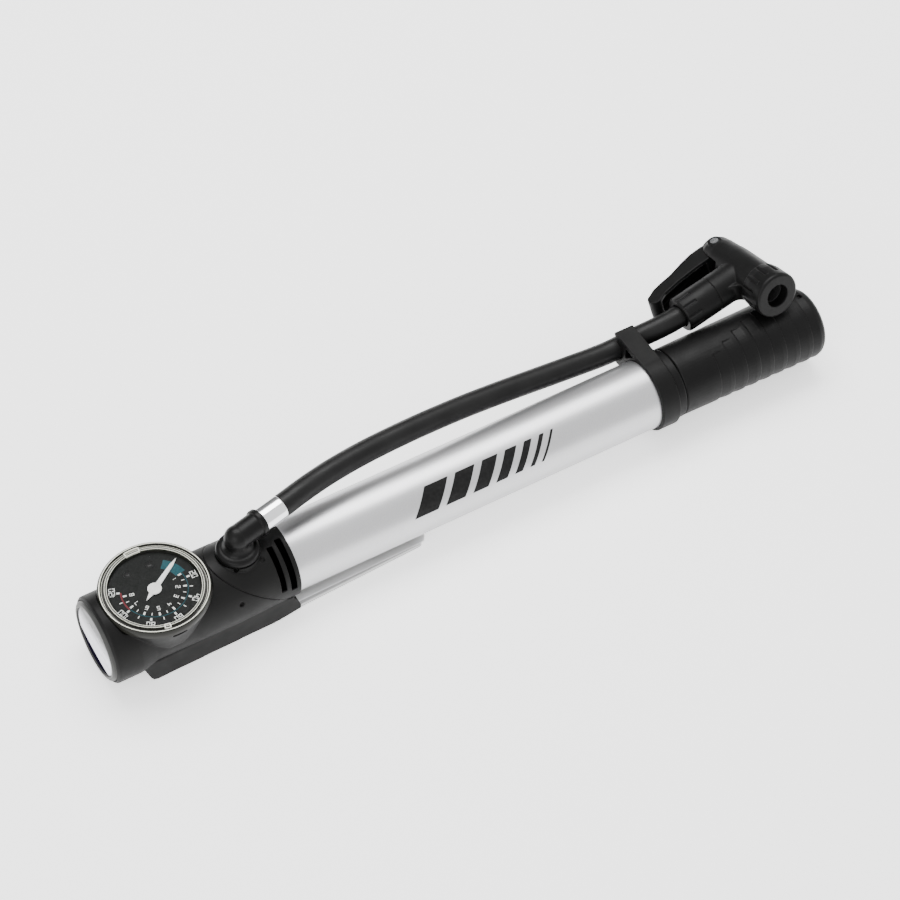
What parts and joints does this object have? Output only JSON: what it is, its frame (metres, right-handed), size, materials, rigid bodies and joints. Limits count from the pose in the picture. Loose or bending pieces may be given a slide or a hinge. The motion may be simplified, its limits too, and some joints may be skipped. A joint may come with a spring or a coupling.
{
  "type": "mini pump",
  "caption": "Compact bicycle pump with an inline pressure gauge, folding foot plate, side hose held in a clip and a thumb-lock valve head.",
  "frame": {"origin": "on the barrel's axis, in the plane of the drum's end rim", "axes": "+X from the base end to the handle along the barrel, +Z out of the gauge's face, +Y to the hose side"},
  "size_m": [0.2812, 0.056, 0.0463],
  "materials": {
    "black_plastic": "fine satin moulding grain",
    "cap_plastic": "polished",
    "badge": "glossy domed badge, two tones",
    "clear_plastic": "clear lens with frosted rims",
    "silver_paint": "fine silver lacquer",
    "satin_aluminium": "satin",
    "bright_metal": "bright",
    "steel": "drawn",
    "brass": "machined",
    "rubber": "matt",
    "dial_print": "printed dial",
    "needle_white": "white lacquer",
    "grey_nylon": "moulded nylon"
  },
  "bodies": {
    "base": {"base_housing": "black_plastic", "barrel_socket": "black_plastic", "end_cap": "cap_plastic", "end_badge": "badge", "valve_block": "grey_nylon", "block_seal": "rubber", "barrel": "silver_paint", "collar_clip": "black_plastic", "gland_nut": "black_plastic", "rod_bushing": "grey_nylon", "rod_wiper": "rubber", "gauge_case": "black_plastic", "gauge_dial": "dial_print", "gauge_lens": "clear_plastic", "gauge_socket": "brass", "bourdon_tube": "brass", "movement_plate": "brass", "foot_pin": "steel"},
    "needle": {"needle_arbor": "steel", "gauge_needle": "needle_white"},
    "sector": {"sector_gear": "brass"},
    "poppet": {"check_valve": "brass", "check_spring": "steel"},
    "foot": {"foot_plate": "satin_aluminium"},
    "plunger": {"piston_rod": "steel", "piston": "grey_nylon", "piston_seal": "rubber", "piston_screw": "steel", "bump_washer": "rubber", "handle_core": "grey_nylon", "handle_screw": "steel", "handle_grip": "black_plastic", "handle_plug": "black_plastic"},
    "hose": {"hose_elbow": "black_plastic", "elbow_seal": "rubber", "elbow_clip": "steel", "hose_ferrule": "bright_metal", "hose": "rubber", "hose_barb": "brass", "hose_gland": "black_plastic", "head_body": "black_plastic", "chuck_gasket": "rubber", "chuck_cap": "black_plastic", "lever_pin": "steel"},
    "pusher": {"lock_pusher": "grey_nylon"},
    "lever": {"lock_lever": "black_plastic"}
  },
  "joints": [
    {"name": "handle_slide", "type": "slide", "parent": "base", "child": "plunger", "axis": [1, 0, 0], "range_m": [0, 0.128]},
    {"name": "foot_fold", "type": "hinge", "parent": "base", "child": "foot", "pos_m": [0.0178, 0, -0.0133], "axis": [0, 1, 0], "range_deg": [0, 90]},
    {"name": "hose_swivel", "type": "hinge", "parent": "base", "child": "hose", "pos_m": [0.0518, 0, 0.0137], "axis": [0, 0, 1], "range_deg": [0, 135]},
    {"name": "lever_turn", "type": "hinge", "parent": "hose", "child": "lever", "pos_m": [0.26218, 0.03176, 0.01318], "axis": [-0.1895, 0.2778, 0.9418], "range_deg": [-90, 0]},
    {"name": "pusher_slide", "type": "slide", "parent": "hose", "child": "pusher", "axis": [0.0278, -0.9572, 0.2879], "range_m": [0, 0.002]},
    {"name": "needle_turn", "type": "hinge", "parent": "base", "child": "needle", "pos_m": [0.0216, 0, 0.0134], "axis": [0, 0, 1], "range_deg": [-240, 0], "stiffness_Nm_per_rad": 0.0001},
    {"name": "sector_turn", "type": "hinge", "parent": "base", "child": "sector", "pos_m": [0.0151, 0, 0.0118], "axis": [0, 0, 1], "range_deg": [0, 40]},
    {"name": "valve_lift", "type": "slide", "parent": "base", "child": "poppet", "axis": [0, 0, 1], "range_m": [0, 0.0008], "stiffness_N_per_m": 40, "deforming": ["check_spring"]}
  ],
  "couplings": [
    {"joint": "pusher_slide", "follows": "lever_turn", "m_per_rad": -0.001273},
    {"joint": "sector_turn", "follows": "needle_turn", "ratio": -0.1636}
  ]
}
